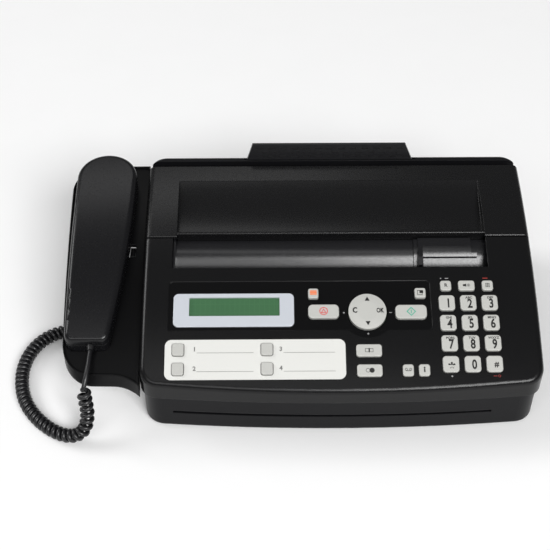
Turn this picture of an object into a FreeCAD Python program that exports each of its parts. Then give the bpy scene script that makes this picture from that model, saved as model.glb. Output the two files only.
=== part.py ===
import math
import os

import FreeCAD
import Part

# Desktop fax machine with a handset cradle on its left side.  Millimetres.
# Origin: centre of the footprint, on the table.  +X right, +Y to the back, +Z up.

V = FreeCAD.Vector

# ---- driving sizes of the cabinet -------------------------------------------------
BODY_LEFT = -112.0
BODY_RIGHT = 170.0
FRONT = -96.0
BACK = 96.0
BOW_RADIUS = 1530.0          # the front is slightly bowed in plan
CORNER = 13.0                # plan radius of the cabinet's corners
TOP_RADIUS = 492.7           # the whole top is one shallow arc, seen from the side
TOP_CENTRE_Y = 129.9
TOP_CENTRE_Z = -392.6
LIP_ROUND = 4.5              # rounding along the top's outer edge
SKIN = 2.2                   # wall of the top covers
WALL = 2.5                   # wall of the base
BASE_INSET = 1.5             # the base stands back under the covers
SEAM_Z = 33.5                # lower edge of the control panel
SEAM_GAP = 0.3
SEAM_Y = 16.5                # joint line between panel and rear cover
SEAM_WIDTH = 1.2
SEAM_BEVEL = 1.0
FOOT_HEIGHT = 1.2

# ---- control panel layout, measured along the top arc from its front edge ----------
NOTCH_LEFT = -91.0
NOTCH_RIGHT = 137.2
NOTCH_S = 94.0
STRIP_S = (45.0, 83.0)
STRIP_X = (-92.6, 93.6)
STRIP_DEEP = 0.6
BEZEL_S = (47.7, 73.1)
BEZEL_X = (-88.9, -3.6)
WINDOW_S = (55.8, 70.0)
WINDOW_X = (-77.8, -13.8)
LABEL_S = (9.3, 38.3)
LABEL_X = (-94.1, 31.9)
KEY_PITCH = 15.17
KEYPAD_X = 104.7
KEYPAD_S = 64.8
KEY_GAP = 0.4
KEY_PROUD = 1.8
KEY_FLANGE = 1.0
KEY_STEM = 4.6               # how far a key reaches below the panel's top
DISC_X = 48.2
DISC_S = 58.6
DISC_RADIUS = 13.4
BOARD_DROP = 8.6
BOARD_THICK = 1.6
BOARD_X = (-100.0, 143.0)
BOARD_HALF = 40.0

# ---- paper path --------------------------------------------------------------------
SLOT_X = (-89.7, 135.8)
SLOT_Z = 17.5
SLOT_HEIGHT = 2.4
COVER_BACK = 84.0
SCOOP_X = (-88.3, 137.3)
SCOOP_BACK = 68.6
LIP_Y = 20.6
LIP_THICK = 2.4
HOUSING_FRONT = 89.5
HOUSING_BOTTOM = 40.0
SKIRT = 12.0
RAMP = (V(0, 19.0, 80.6), V(0, 12.5, 78.6), V(0, 6.0, 73.8), V(0, -1.0, 65.8), V(0, -27.0, 47.5))
RAMP_THICK = 2.0
RAMP_LEAN = 0.25             # a layer above the ramp also moves forward by this share
FENCE_OUTLINE = (            # fixed left fence of the ramp, Y and Z
    (18.9, 83.9), (18.9, 79.6), (12.5, 77.6), (6.0, 72.8),
    (-1.0, 64.8), (-7.5, 66.0), (-7.5, 77.5),
)
FENCE_THICK = 1.6
GUIDE_X = 88.0               # left face of the sliding fence
GUIDE_THICK = 3.2
GUIDE_OUTLINE = ((18.0, 84.0), (18.0, 60.0), (-2.6, 60.0), (-2.6, 76.4), (4.0, 80.4))
RUNNER_GAP = 0.5             # the sliding fence clears the ramp by this
WING_LENGTH = 41.0
WING_GAP = 3.4
WING_NICK = 126.8            # from here to its tip the wing is only a narrow strip
SUPPORT_FRONT = 91.3
SUPPORT_THICK = 2.4
SUPPORT_OUTLINE = (          # flap seen from the front, X and Z
    (-38.0, 46.0), (90.0, 46.0), (90.0, 96.5), (83.4, 112.6), (-33.2, 112.6), (-38.0, 96.5),
)
SUPPORT_HOLES_X = -27.5
SUPPORT_HOLES_Z = 101.3
SUPPORT_HOLE = (5.2, 1.4)
SUPPORT_HOLE_PITCH = (8.9, 3.9)
SUPPORT_HOLE_LAST = 82.0

# ---- drive -------------------------------------------------------------------------
SHAFT = 2.5                  # radius of every roller shaft
FIT = 0.06                   # running clearance, radial
FRAME_X = (-96.0, 139.5)     # outer face of the left frame, inner face of the right one
FRAME_THICK = 3.0
SCAN_AXIS = (-36.0, 38.0)
SCAN_RADIUS = 8.0
PLATEN_AXIS = (10.0, 40.0)
PLATEN_RADIUS = 9.0
TAKEUP_AXIS = (38.0, 62.0)
TAKEUP_RADIUS = 10.0
SUPPLY_AXIS = (67.6, 60.0)
SUPPLY_RADIUS = 15.0
MODULE = 1.0
GEAR_TEETH = 36
PINION_TEETH = 14
TOOTH_FOOT = 1.02            # half widths of a tooth at its foot and tip, in modules
TOOTH_TIP = 0.32
GEAR_X = 145.0
GEAR_WIDE = 6.0

# ---- hinges ------------------------------------------------------------------------
PANEL_PIVOT = (12.0, 81.0)
PANEL_PIN = 1.5
COVER_PIVOT = (79.0, 91.0)
COVER_PIN = 2.0
PIVOT_PLATE = 2.2

# ---- handset and cradle ------------------------------------------------------------
SHELF_RIGHT = -112.6
SHELF_DROP = 20.5            # underside of the cradle below the top arc
RIM_DROP = 9.4
RIM_WIDE = 1.2
DECK_DROP = 11.0
POCKET_DROP = 18.2
SHELF_WALL = 2.5
HANDSET_GAP = 0.6
CUP_DROP = 17.4
HANDSET_TOP = (V(0, -61.0, 62.3), V(0, 14.3, 89.4), V(0, 93.0, 104.0))
HANDSET_WALL = 2.0
HANDSET_ROUND = 3.6          # rounding along the back's edge
SPLIT_DROP = 5.0             # the two half shells meet this far below the top arc
EAR_X = -143.0
EAR_Y = 70.4
EAR_RADIUS = 22.4
SIDE_RADIUS = 634.4          # the long curve of the handset's right side
MOUTH_Y = -61.2
MOUTH_CORNER = 6.0
RELIEF_GAP = 0.3

HOOK_X = -121.5
HOOK_Y = 14.5
HOOK_HALF = (1.9, 4.9)
HOOK_CLEAR = 0.5
HOOK_LONG = 8.5
MOUTH_CUP = (-163.0, -136.6, -56.0, -24.0)
EAR_CUP = (-143.0, 68.0, 19.6)

# ---- inside the base -----------------------------------------------------------------
BOARD_Z = 8.0
BOARD_AREA = (-60.0, 110.0, -20.0, 70.0)
BOARD_SCREWS = ((-56.0, -16.0), (106.0, -16.0), (-56.0, 66.0), (106.0, 66.0))
BOARD_BLOCKS = (             # transformer, heat sink, processor, relay: x0, x1, y0, y1, height
    (70, 98, 38, 62, 20), (30, 44, 44, 60, 12), (-20, 0, 10, 30, 3), (-48, -20, 46, 58, 10),
)
BOARD_CANS = ((58, 52, 6, 18), (58, 36, 5, 14), (20, 20, 4, 10))   # capacitors: x, y, r, height
SOCKETS = ((-80.0, 12.0, 9.0), (-60.0, 12.0, 9.0), (110.0, 24.0, 18.0))   # two lines, mains inlet
SOCKET_FLOOR = 12.0

# ---- cord --------------------------------------------------------------------------
COIL_RADIUS = 5.3
LEAD_RADIUS = 2.0
SOCKET_Y = -6.0
SOCKET_Z = 11.0
COIL_ROUTE = [
    (-121.0, -6.0, 11.0), (-136.0, -5.9, 9.6), (-152.0, -3.4, 6.4), (-168.0, -0.6, 5.7),
    (-182.0, -2.4, 5.6), (-194.0, -10.4, 5.7), (-202.0, -23.6, 5.6), (-205.0, -39.6, 5.7),
    (-203.6, -56.0, 5.6), (-198.4, -72.0, 5.7), (-188.6, -86.0, 5.6), (-175.4, -97.6, 5.7),
    (-161.6, -103.4, 6.2), (-151.4, -102.4, 12.0), (-148.4, -96.2, 22.6), (-149.8, -91.8, 35.0),
]
LEAD_ROUTE = [
    (-149.8, -91.8, 35.0), (-149.4, -89.9, 42.3), (-148.3, -85.6, 47.6),
    (-147.4, -78.6, 50.9), (-146.9, -71.4, 53.0), (-146.8, -64.9, 54.1),
]


# ---- shared geometry ---------------------------------------------------------------
def arc_z(y, drop=0.0):
    """Height of the top arc, or of one that runs `drop` below it."""
    return TOP_CENTRE_Z + math.sqrt((TOP_RADIUS - drop) ** 2 - (y - TOP_CENTRE_Y) ** 2)


FRONT_ANGLE = math.asin((TOP_CENTRE_Y - FRONT) / TOP_RADIUS)


def on_top(s):
    """Y, Z and slope of the top arc at the distance s behind its front edge."""
    a = FRONT_ANGLE - s / TOP_RADIUS
    return TOP_CENTRE_Y - TOP_RADIUS * math.sin(a), TOP_CENTRE_Z + TOP_RADIUS * math.cos(a), a


def seat(shape, x, s):
    """Moves a shape drawn at the origin onto the top arc, square to it."""
    y, z, a = on_top(s)
    shape.Placement = FreeCAD.Placement(V(x, y, z), FreeCAD.Rotation(V(1, 0, 0), math.degrees(a)))
    return shape


def box(x0, x1, y0, y1, z0, z1):
    return Part.makeBox(x1 - x0, y1 - y0, z1 - z0, V(x0, y0, z0))


def rod(x0, x1, y, z, r):
    """Cylinder along X."""
    return Part.makeCylinder(r, x1 - x0, V(x0, y, z), V(1, 0, 0))


def loop(edges):
    return Part.Face(Part.Wire(edges))


def line(a, b):
    return Part.LineSegment(a, b).toShape()


def arc3(a, b, c):
    return Part.Arc(a, b, c).toShape()


def polygon_yz(points, x):
    pts = [V(x, y, z) for y, z in points]
    return Part.Face(Part.makePolygon(pts + [pts[0]]))


def top_edge(y0, y1, drop, x):
    mid = 0.5 * (y0 + y1)
    return arc3(V(x, y0, arc_z(y0, drop)), V(x, mid, arc_z(mid, drop)), V(x, y1, arc_z(y1, drop)))


def below_arc(x0, x1, y0, y1, z0, drop=0.0):
    """Prism along X from the level z0 up to the arc."""
    a = V(x0, y0, z0)
    b = V(x0, y1, z0)
    c = V(x0, y0, arc_z(y0, drop))
    d = V(x0, y1, arc_z(y1, drop))
    face = loop([line(a, b), line(b, d), top_edge(y0, y1, drop, x0), line(c, a)])
    return face.extrude(V(x1 - x0, 0, 0))


def arc_band(x0, x1, y0, y1, high, low):
    """Prism along X between two of the arcs."""
    a = V(x0, y0, arc_z(y0, low))
    b = V(x0, y1, arc_z(y1, low))
    c = V(x0, y0, arc_z(y0, high))
    d = V(x0, y1, arc_z(y1, high))
    face = loop([top_edge(y0, y1, low, x0), line(b, d), top_edge(y0, y1, high, x0), line(c, a)])
    return face.extrude(V(x1 - x0, 0, 0))


def upright_edges(shape, test):
    found = []
    for e in shape.Edges:
        a = e.Vertexes[0].Point
        b = e.Vertexes[-1].Point
        if abs(a.x - b.x) < 1e-4 and abs(a.y - b.y) < 1e-4 and abs(a.z - b.z) > 0.01 and test(a):
            found.append(e)
    return found


def plan(inset, z0, z1, corner):
    """Upright prism over the cabinet's outline: straight sides and back, bowed front."""
    x0 = BODY_LEFT + inset
    x1 = BODY_RIGHT - inset
    mid = 0.5 * (x0 + x1)
    sag = (0.5 * (x1 - x0)) ** 2 / (2 * BOW_RADIUS)
    y0 = FRONT + inset
    y1 = BACK - inset
    fl = V(x0, y0 + sag, z0)
    fr = V(x1, y0 + sag, z0)
    bl = V(x0, y1, z0)
    br = V(x1, y1, z0)
    face = loop([arc3(fl, V(mid, y0, z0), fr), line(fr, br), line(br, bl), line(bl, fl)])
    solid = face.extrude(V(0, 0, z1 - z0))
    return solid.makeFillet(corner, upright_edges(solid, lambda p: True))


def cabinet(inset, drop):
    """The whole cabinet under the top arc, shrunk by inset at the sides and drop at the top."""
    corner = CORNER - min(inset, SKIN)
    return plan(inset, 0, 120, corner).common(below_arc(-200, 200, -110, 110, -1, drop))


def rounded_cabinet():
    """The cabinet with its outer top edge rounded over."""
    solid = cabinet(0, 0)
    edges = []
    for e in solid.Edges:
        p = e.valueAt(0.5 * (e.FirstParameter + e.LastParameter))
        q = e.valueAt(e.FirstParameter)
        on_arc = abs(p.z - arc_z(p.y)) < 0.02 and abs(q.z - arc_z(q.y)) < 0.02
        if on_arc and p.z > 1:
            edges.append(e)
    return solid.makeFillet(LIP_ROUND, edges)


def pad(w, d, z0, z1, corner):
    """Rounded block centred on the local origin."""
    b = box(-w / 2, w / 2, -d / 2, d / 2, z0, z1)
    return b.makeFillet(corner, upright_edges(b, lambda p: True))


def soft_top(shape, z, r):
    """Rounds the edges of a block's upper face."""
    edges = [e for e in shape.Edges if all(abs(v.Point.z - z) < 1e-4 for v in e.Vertexes)]
    return shape.makeFillet(r, edges)


def middle(pair):
    return 0.5 * (pair[0] + pair[1])


def on_strip(block, xs, ss):
    """Seats a block over the area xs by ss, flat on the floor of the display strip."""
    block.translate(V(0, middle(ss) - middle(STRIP_S), 0))
    carrier = Part.makeCompound([block])
    return seat(carrier, middle(xs), middle(STRIP_S)).Solids[0]


def panel_area(xs, ss, z0, z1, corner):
    """Rounded block over the area xs by ss of the panel, seated on its middle."""
    block = pad(xs[1] - xs[0], ss[1] - ss[0], z0, z1, corner)
    return seat(block, middle(xs), middle(ss))


# ---- key layout --------------------------------------------------------------------
def key_table():
    """Every key: name, x, s, width, depth, corner radius."""
    keys = []
    names = ["1", "2", "3", "4", "5", "6", "7", "8", "9", "star", "0", "hash"]
    for i, name in enumerate(names):
        x = KEYPAD_X + KEY_PITCH * (i % 3)
        s = KEYPAD_S - KEY_PITCH * (i // 3)
        keys.append(("key_" + name, x, s, 11.3, 11.6, 2.4))
    keys.append(("flash_key", 104.8, 78.2, 7.8, 7.8, 1.8))
    keys.append(("hands_free_key", 119.6, 78.2, 11.6, 7.8, 1.8))
    keys.append(("redial_key", 134.6, 78.2, 7.8, 7.8, 1.8))
    keys.append(("stop_key", 17.2, 58.7, 21.7, 10.4, 3.2))
    keys.append(("start_key", 79.0, 58.1, 22.1, 10.5, 3.2))
    keys.append(("resolution_key", 10.2, 72.6, 7.2, 7.6, 1.4))
    keys.append(("settings_key", 86.2, 72.6, 7.8, 7.6, 1.4))
    keys.append(("directory_key", 48.2, 29.5, 17.9, 8.9, 2.0))
    keys.append(("contrast_key", 48.2, 15.1, 17.6, 8.7, 2.0))
    keys.append(("message_key", 74.9, 15.1, 7.6, 8.4, 1.8))
    keys.append(("info_key", 86.1, 15.1, 7.7, 8.4, 1.8))
    for i, (x, s) in enumerate([(-84.9, 30.9), (-84.9, 16.9), (-22.9, 30.9), (-22.9, 17.0)]):
        keys.append(("memory_key_%d" % (i + 1), x, s, 8.2, 8.9, 1.6))
    return keys


def key(x, s, w, d, corner):
    """Moulded cap with a retaining flange under the panel."""
    cap = soft_top(pad(w, d, -SKIN - 0.6, KEY_PROUD, corner), KEY_PROUD, 0.7)
    flange = pad(w + 1.6, d + 1.6, -SKIN - KEY_FLANGE - 0.6, -SKIN - 0.6, corner)
    stem = pad(3.4, 3.4, -KEY_STEM, -SKIN - KEY_FLANGE - 0.6, 0.6)
    return seat(cap.fuse(flange).fuse(stem).removeSplitter(), x, s)


def key_hole(x, s, w, d, corner):
    g = 2 * KEY_GAP
    return seat(pad(w + g, d + g, -20, 10, corner + KEY_GAP), x, s)


# ---- casing ------------------------------------------------------------------------
def seam_bevel(y, out):
    """Sliver that bevels a top cover's edge at y; out is the side that the seam is on, 1 or -1."""
    top = arc_z(y)
    inner = y - out * SEAM_BEVEL
    outer = y + out * 0.5
    face = polygon_yz([(inner, top + 0.6), (outer, top + 0.6), (outer, top - SEAM_BEVEL)], -200)
    return face.extrude(V(400, 0, 0))


def control_panel(outer, inner):
    """Top front casing with the key apertures, the display strip and the document notch."""
    rear = SEAM_Y - SEAM_WIDTH / 2
    region = box(-200, 200, -110, rear, SEAM_Z, 150)
    shell = outer.common(region).cut(inner).cut(seam_bevel(rear, 1))
    notch = box(NOTCH_LEFT, NOTCH_RIGHT, on_top(NOTCH_S)[0], 40, 40, 150)
    shell = shell.cut(notch)
    shell = shell.cut(panel_area(STRIP_X, STRIP_S, -STRIP_DEEP, 10, 3.0))
    label_x = (LABEL_X[0] - 0.3, LABEL_X[1] + 0.3)
    label_s = (LABEL_S[0] - 0.3, LABEL_S[1] + 0.3)
    shell = shell.cut(panel_area(label_x, label_s, -STRIP_DEEP, 10, 5.0))
    window_x = (WINDOW_X[0] - 1.5, WINDOW_X[1] + 1.5)
    window_s = (WINDOW_S[0] - 1.5, WINDOW_S[1] + 1.5)
    shell = shell.cut(panel_area(window_x, window_s, -20, 10, 1.0))
    for _, x, s, w, d, corner in key_table():
        shell = shell.cut(key_hole(x, s, w, d, corner))
    disc = Part.makeCylinder(DISC_RADIUS + 0.8, 40, V(0, 0, -20))
    shell = shell.cut(seat(disc, DISC_X, DISC_S))
    inside_left = BODY_LEFT + SKIN
    inside_right = BODY_RIGHT - SKIN
    reach = BASE_INSET + WALL + PIVOT_PLATE
    shell = shell.fuse(rod(inside_left - 0.5, BODY_LEFT + reach, *PANEL_PIVOT, PANEL_PIN))
    shell = shell.fuse(rod(BODY_RIGHT - reach, inside_right + 0.5, *PANEL_PIVOT, PANEL_PIN))
    return shell.removeSplitter()


def scoop_curve(x, lower):
    """Concave tray surface in the rear cover, from the back edge down to the lip."""
    a = V(x, LIP_Y, 81.6 - lower)
    b = V(x, 45.0, 85.9 - lower)
    c = V(x, SCOOP_BACK, arc_z(SCOOP_BACK) - lower)
    return a, b, c


def scoop_region(x0, x1, lower, top):
    a, b, c = scoop_curve(x0, lower)
    d = V(x0, SCOOP_BACK, top)
    e = V(x0, LIP_Y, top)
    face = loop([arc3(a, b, c), line(c, d), line(d, e), line(e, a)])
    return face.extrude(V(x1 - x0, 0, 0))


def rear_cover(outer, inner):
    """Cover over the ribbon, with a document tray pressed into it and a rolled front lip."""
    front = SEAM_Y + SEAM_WIDTH / 2
    shell = outer.common(box(-200, 200, front, COVER_BACK, 50, 150)).cut(inner)
    shell = shell.cut(below_arc(-200, 200, -110, 110, -1, SKIRT))
    shell = shell.cut(box(SCOOP_X[0], SCOOP_X[1], 0, LIP_Y, 50, 150))
    shell = shell.cut(scoop_region(SCOOP_X[0], SCOOP_X[1], 0, 150))
    tub = scoop_region(SCOOP_X[0] - SKIN, SCOOP_X[1] + SKIN, SKIN, 97)
    tub = tub.common(below_arc(-200, 200, -110, 110, -1, 1.0))
    tub = tub.cut(scoop_region(SCOOP_X[0], SCOOP_X[1], 0, 150))
    shell = shell.fuse(tub)
    lip_top = arc_z(LIP_Y) - LIP_THICK / 2
    lip = box(SCOOP_X[0], SCOOP_X[1], LIP_Y - LIP_THICK / 2, LIP_Y + LIP_THICK / 2, 79.5, lip_top)
    shell = shell.fuse(lip)
    shell = shell.fuse(rod(SCOOP_X[0], SCOOP_X[1], LIP_Y, lip_top, LIP_THICK / 2))
    shell = shell.cut(box(-200, 200, 75.5, 100, 60, 89.0))
    shell = shell.cut(seam_bevel(front, -1))
    corner = polygon_yz([(front - 0.2, 70.0), (front + 4.0, 70.0), (front - 0.2, 84.0)], -200)
    shell = shell.cut(corner.extrude(V(400, 0, 0)))
    reach = BASE_INSET + WALL + PIVOT_PLATE
    left = rod(BODY_LEFT + SKIN - 0.5, BODY_LEFT + reach, *COVER_PIVOT, COVER_PIN)
    right = rod(BODY_RIGHT - reach, BODY_RIGHT - SKIN + 0.5, *COVER_PIVOT, COVER_PIN)
    return shell.fuse(left).fuse(right).removeSplitter()


def rear_housing(outer):
    """Back strip of the casing: rear wall of the paper slot and pocket of the paper support."""
    block = outer.common(box(-200, 200, HOUSING_FRONT, 110, HOUSING_BOTTOM, 150))
    pocket = box(-40.0, 92.0, 91.0, 94.0, HOUSING_BOTTOM + 4.0, 150)
    block = block.cut(pocket)
    for x0, x1 in ((-108.0, -43.0), (95.0, 166.0)):
        block = block.cut(box(x0, x1, 91.5, 94.0, HOUSING_BOTTOM - 1, 95.0))
    return block


def base_profile(x):
    """Side profile of the base: low in front of the seam, high behind it."""
    seam = SEAM_Y + SEAM_WIDTH / 2
    low = SEAM_Z - SEAM_GAP
    drop = SKIRT + 0.4
    back_z = HOUSING_BOTTOM - 0.2
    pts = [V(x, -110, 0), V(x, -110, low), V(x, seam, low), V(x, seam, arc_z(seam, drop))]
    end = [V(x, HOUSING_FRONT - 0.3, arc_z(HOUSING_FRONT - 0.3, drop)),
           V(x, HOUSING_FRONT - 0.3, back_z), V(x, 110, back_z), V(x, 110, 0)]
    edges = [line(pts[i], pts[i + 1]) for i in range(3)]
    edges.append(top_edge(seam, HOUSING_FRONT - 0.3, drop, x))
    edges += [line(end[i], end[i + 1]) for i in range(3)]
    edges.append(line(end[3], pts[0]))
    return loop(edges)


def pivot_plate(x0, pivot, pin, y0, y1, z0):
    """Upright ear with a bore for a hinge pin."""
    x1 = x0 + PIVOT_PLATE
    ear = box(x0, x1, y0, y1, z0, pivot[1]).fuse(rod(x0, x1, pivot[0], pivot[1], pin + 0.9))
    return ear.cut(rod(x0 - 1, x1 + 1, pivot[0], pivot[1], pin + FIT))


def frame_plate(x0):
    """Side frame of the print and scan drive, with the bores of its shafts."""
    x1 = x0 + FRAME_THICK
    pts = [(-50, 3), (-50, 52), (-24, 52), (-4, 60), (24, 60), (28, 70), (76, 76), (80, 40), (80, 3)]
    plate = polygon_yz(pts, x0).extrude(V(x1 - x0, 0, 0))
    for y, z in (SCAN_AXIS, PLATEN_AXIS, TAKEUP_AXIS, SUPPLY_AXIS, pinion_axis()):
        plate = plate.cut(rod(x0 - 1, x1 + 1, y, z, SHAFT + FIT))
    return plate


def base_shell():
    """Lower casing: floor, walls, hinge ears and side frames in one moulding."""
    corner = CORNER + 2.0
    body = plan(BASE_INSET, FOOT_HEIGHT, 120, corner)
    body = body.common(base_profile(-200).extrude(V(400, 0, 0)))
    bottom = [e for e in body.Edges if all(abs(v.Point.z - FOOT_HEIGHT) < 1e-3 for v in e.Vertexes)]
    body = body.makeFillet(3.0, bottom)
    floor = FOOT_HEIGHT + WALL
    body = body.cut(plan(BASE_INSET + WALL, floor, 150, corner - WALL))
    wall_left = BODY_LEFT + BASE_INSET + WALL
    wall_right = BODY_RIGHT - BASE_INSET - WALL
    for x0 in (wall_left - 0.3, wall_right - PIVOT_PLATE + 0.3):
        ear = pivot_plate(x0, PANEL_PIVOT, PANEL_PIN, 9.6, 19.0, 12.0)
        body = body.fuse(ear)
        body = body.fuse(pivot_plate(x0, COVER_PIVOT, COVER_PIN, 75.0, 83.0, 40.0))
    for x0 in (FRAME_X[0], FRAME_X[1]):
        body = body.fuse(frame_plate(x0))
    slot = box(SLOT_X[0], SLOT_X[1], -110, -80, SLOT_Z - SLOT_HEIGHT / 2, SLOT_Z + SLOT_HEIGHT / 2)
    body = body.cut(slot)
    socket = box(-108.2, -98.0, SOCKET_Y - 6.5, SOCKET_Y + 6.5, floor - 0.5, SOCKET_Z + 6.5)
    body = body.fuse(socket)
    hole = box(-112.0, -100.0, SOCKET_Y - 4.4, SOCKET_Y + 4.4, SOCKET_Z - 3.9, SOCKET_Z + 3.9)
    body = body.cut(hole)
    rear = BACK - BASE_INSET
    for x0, wide, high in SOCKETS:
        ceiling = SOCKET_FLOOR + high
        body = body.fuse(box(x0 - 2, x0 + wide + 2, rear - 16, rear - 1, floor - 0.5, ceiling + 2))
        body = body.cut(box(x0, x0 + wide, rear - 13, rear + 1, SOCKET_FLOOR, ceiling))
    for x, y in BOARD_SCREWS:
        body = body.fuse(Part.makeCylinder(3.0, BOARD_Z - floor + 0.5, V(x, y, floor - 0.5)))
        body = body.cut(Part.makeCylinder(1.35, BOARD_Z - floor, V(x, y, floor)))
    return body.removeSplitter()


# ---- paper path pieces ---------------------------------------------------------------
def ramp_profile(x, up, thick, last):
    """Cross-section that follows the document ramp at the height up above it."""
    top = [V(x, p.y - RAMP_LEAN * up, p.z + up) for p in RAMP[:last]]
    low = [V(x, p.y - RAMP_LEAN * up, p.z + up - thick) for p in RAMP[:last]]
    edges = [arc3(top[0], top[1], top[2])]
    edges += [line(top[i], top[i + 1]) for i in range(2, last - 1)]
    edges.append(line(top[-1], low[-1]))
    edges += [line(low[i + 1], low[i]) for i in range(last - 2, 1, -1)]
    edges.append(arc3(low[2], low[1], low[0]))
    edges.append(line(low[0], top[0]))
    return loop(edges)


def document_chute():
    """Ramp that leads the document from the tray down to the scanner, with its left fence."""
    x0 = FRAME_X[0] + FRAME_THICK
    plate = ramp_profile(x0, 0.0, RAMP_THICK, len(RAMP)).extrude(V(FRAME_X[1] - x0, 0, 0))
    fence = polygon_yz(FENCE_OUTLINE, NOTCH_LEFT + 0.3).extrude(V(FENCE_THICK, 0, 0))
    return plate.fuse(fence).removeSplitter()


def document_guide():
    """Sliding fence with a curved wing, set to the width of the document."""
    fence = polygon_yz(GUIDE_OUTLINE, GUIDE_X).extrude(V(GUIDE_THICK, 0, 0))
    runner = ramp_profile(GUIDE_X - 3.0, 1.7, 4.0, 4).extrude(V(3.5, 0, 0))
    runner = runner.common(box(80, 100, -2.6, 18, 50, 90))
    wing = ramp_profile(GUIDE_X + 2.0, WING_GAP, 1.6, 4).extrude(V(WING_LENGTH, 0, 0))
    wing = wing.common(box(80, 140, 5.0, 18.4, 50, 90))
    wing = wing.cut(box(WING_NICK, 140, 7.0, 20, 50, 100))
    under = ramp_profile(80.0, RUNNER_GAP, 30.0, len(RAMP)).extrude(V(60, 0, 0))
    guide = fence.fuse(runner).cut(under).fuse(wing)
    return guide.common(below_arc(80, 140, -20, 30, 0, SKIN + 1.5)).removeSplitter()


def paper_support():
    """Perforated flap that stands up behind the rear paper slot and pulls up out of its pocket."""
    pts = [V(x, SUPPORT_FRONT, z) for x, z in SUPPORT_OUTLINE]
    plate = Part.Face(Part.makePolygon(pts + [pts[0]])).extrude(V(0, SUPPORT_THICK, 0))
    half_wide = SUPPORT_HOLE[0] / 2
    half_high = SUPPORT_HOLE[1] / 2
    for row in range(3):
        z = SUPPORT_HOLES_Z + SUPPORT_HOLE_PITCH[1] * row
        for i in range(13):
            x = SUPPORT_HOLES_X + SUPPORT_HOLE_PITCH[0] * (i + 0.5 * (row % 2))
            if x < SUPPORT_HOLE_LAST:
                hole = box(x - half_wide, x + half_wide, 90, 95, z - half_high, z + half_high)
                plate = plate.cut(hole)
    return plate


def roller(axis, r, x0, x1, shaft_left, shaft_right):
    body = rod(x0, x1, axis[0], axis[1], r)
    return body.fuse(rod(shaft_left, shaft_right, axis[0], axis[1], SHAFT)).removeSplitter()


def pinion_axis():
    """Centre of the motor pinion, in mesh with both gears, below the line of their axes."""
    reach = MODULE * (GEAR_TEETH + PINION_TEETH) / 2
    dy = PLATEN_AXIS[0] - SCAN_AXIS[0]
    dz = PLATEN_AXIS[1] - SCAN_AXIS[1]
    dist = math.hypot(dy, dz)
    down = math.sqrt(reach ** 2 - (dist / 2) ** 2)
    my = 0.5 * (PLATEN_AXIS[0] + SCAN_AXIS[0])
    mz = 0.5 * (PLATEN_AXIS[1] + SCAN_AXIS[1])
    return (my + down * dz / dist, mz - down * dy / dist)


def gear(axis, teeth, phase, x0, wide):
    """Spur gear with straight-flanked teeth; one tooth is centred on the angle phase."""
    pitch = MODULE * teeth / 2
    root = pitch - 1.15 * MODULE
    tip = pitch + 0.85 * MODULE
    pts = []
    for i in range(teeth):
        mid = phase + 2 * math.pi * i / teeth
        for r, half in ((root, TOOTH_FOOT), (tip, TOOTH_TIP)):
            pts.append((r, mid - half * MODULE / r))
        for r, half in ((tip, TOOTH_TIP), (root, TOOTH_FOOT)):
            pts.append((r, mid + half * MODULE / r))
    outline = [(axis[0] + r * math.cos(t), axis[1] + r * math.sin(t)) for r, t in pts]
    return polygon_yz(outline, x0).extrude(V(wide, 0, 0))


def gear_phase(axis):
    """Angle of one tooth of the gear on axis that meets the pinion's teeth half a pitch off."""
    py, pz = pinion_axis()
    toward = math.atan2(axis[1] - pz, axis[0] - py)
    to_scan = math.atan2(SCAN_AXIS[1] - pz, SCAN_AXIS[0] - py)
    step = 2 * math.pi / PINION_TEETH
    lead = (to_scan - toward) % step
    shift = (PINION_TEETH * lead / 2 + math.pi / 2) / (GEAR_TEETH / 2)
    return toward + math.pi - shift


def geared_roller(axis, r):
    shaft_end = GEAR_X + GEAR_WIDE + 2
    body = roller(axis, r, -91.0, FRAME_X[1] - 1.5, FRAME_X[0] - 1, shaft_end)
    return body.fuse(gear(axis, GEAR_TEETH, gear_phase(axis), GEAR_X, GEAR_WIDE))


def spool(axis, r):
    """Ribbon core with two end flanges and its shaft."""
    body = roller(axis, r, -88.0, 134.0, FRAME_X[0] - 1, FRAME_X[1] + FRAME_THICK + 1)
    for x in (-90.5, 134.0):
        body = body.fuse(rod(x, x + 2.5, axis[0], axis[1], r + 1.8))
    return body.removeSplitter()


def motor():
    """Stepper motor can against the right frame, bored for the pinion's shaft."""
    y, z = pinion_axis()
    can = rod(119.0, FRAME_X[1], y, z, 14.5)
    bore = rod(130.0, FRAME_X[1] + 1, y, z, SHAFT + FIT)
    ring = rod(FRAME_X[1] - 4, FRAME_X[1], y, z, SHAFT + 0.8)
    return can.cut(bore).fuse(ring.cut(bore))


def motor_pinion():
    y, z = pinion_axis()
    phase = math.atan2(SCAN_AXIS[1] - z, SCAN_AXIS[0] - y)
    teeth = gear((y, z), PINION_TEETH, phase, GEAR_X, GEAR_WIDE + 0.5)
    return teeth.fuse(rod(131.0, GEAR_X + 1, y, z, SHAFT)).removeSplitter()


def scanner_bar():
    """Contact image sensor with its glass face down on the scan roller."""
    x0 = FRAME_X[0] + FRAME_THICK
    bar = box(x0, FRAME_X[1], -46.0, -29.5, 47.2, 55.4)
    glass = box(x0 + 4, FRAME_X[1] - 4, -41.0, -31.0, 46.4, 47.2)
    return bar.fuse(glass)


def thermal_head():
    """Print head bar on its heat sink, pressed against the back of the platen."""
    x0 = FRAME_X[0] + FRAME_THICK
    sink = box(x0, FRAME_X[1], 22.5, 27.0, 33.0, 48.0)
    head = box(x0 + 6, FRAME_X[1] - 6, 19.4, 22.5, 36.0, 44.0)
    return sink.fuse(head).removeSplitter()


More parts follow.
